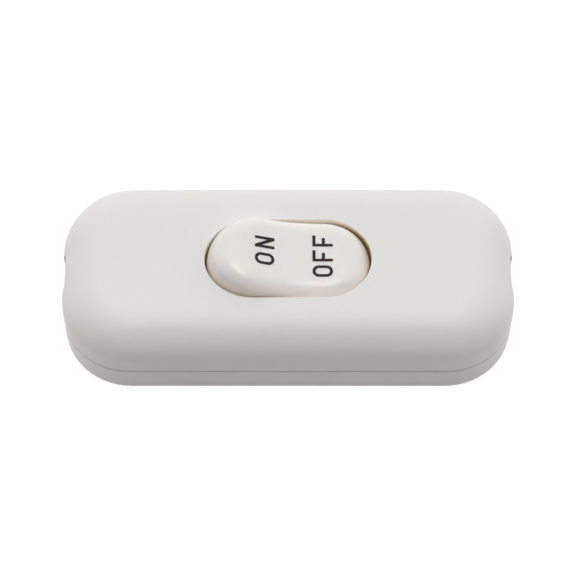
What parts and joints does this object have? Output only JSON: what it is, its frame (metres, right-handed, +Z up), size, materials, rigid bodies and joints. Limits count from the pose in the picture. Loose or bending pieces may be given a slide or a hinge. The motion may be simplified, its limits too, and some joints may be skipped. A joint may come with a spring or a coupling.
{
  "type": "inline cord switch",
  "caption": "Low rounded inline switch for a mains lead: a two-shell white housing with a cord inlet in each end and a see-saw ON and OFF rocker set in its top.",
  "frame": {"origin": "middle of the underside, on the surface that the switch lies on", "axes": "+X along the lead towards the OFF side, +Y towards the back of the picture, +Z up out of the rocker"},
  "size_m": [0.062, 0.026, 0.017],
  "materials": {
    "casing_plastic": "satin white, fine moulded grain",
    "rocker_plastic": "glossy ivory white",
    "clamp_plastic": "satin grey",
    "brass": "plain stamped brass",
    "zinc_steel": "zinc plated",
    "spring_steel": "drawn wire",
    "contact_silver": "dull silver"
  },
  "bodies": {
    "housing": {"upper_casing": "casing_plastic", "lower_casing": "casing_plastic", "case_screws": "zinc_steel", "fixed_contact_tip": "contact_silver", "fulcrum_terminal": "brass", "line_terminal": "brass", "neutral_link": "brass", "terminal_screws": "zinc_steel", "terminal_washers": "zinc_steel", "left_cord_clamp": "clamp_plastic", "right_cord_clamp": "clamp_plastic", "clamp_screws": "zinc_steel"},
    "rocker_body": {"rocker": "rocker_plastic", "plunger_spring": "spring_steel"},
    "plunger_body": {"plunger": "brass"},
    "see_saw": {"rocking_contact": "brass", "moving_contact_tip": "contact_silver"}
  },
  "joints": [
    {"name": "rocker_tilt", "type": "hinge", "parent": "housing", "child": "rocker_body", "pos_m": [0, 0, 0.0111], "axis": [0, -1, 0], "range_deg": [0, 20.6]},
    {"name": "plunger_slide", "type": "slide", "parent": "rocker_body", "child": "plunger_body", "axis": [0.1788, 0, 0.9839], "range_m": [0, 0.0006], "stiffness_N_per_m": 400, "deforming": ["plunger_spring"]},
    {"name": "see_saw_tilt", "type": "hinge", "parent": "housing", "child": "see_saw", "pos_m": [0, 0, 0.0049], "axis": [0, 1, 0], "range_deg": [0, 19.22]}
  ],
  "couplings": [
    {"joint": "see_saw_tilt", "follows": "rocker_tilt", "ratio": 0.9331}
  ]
}
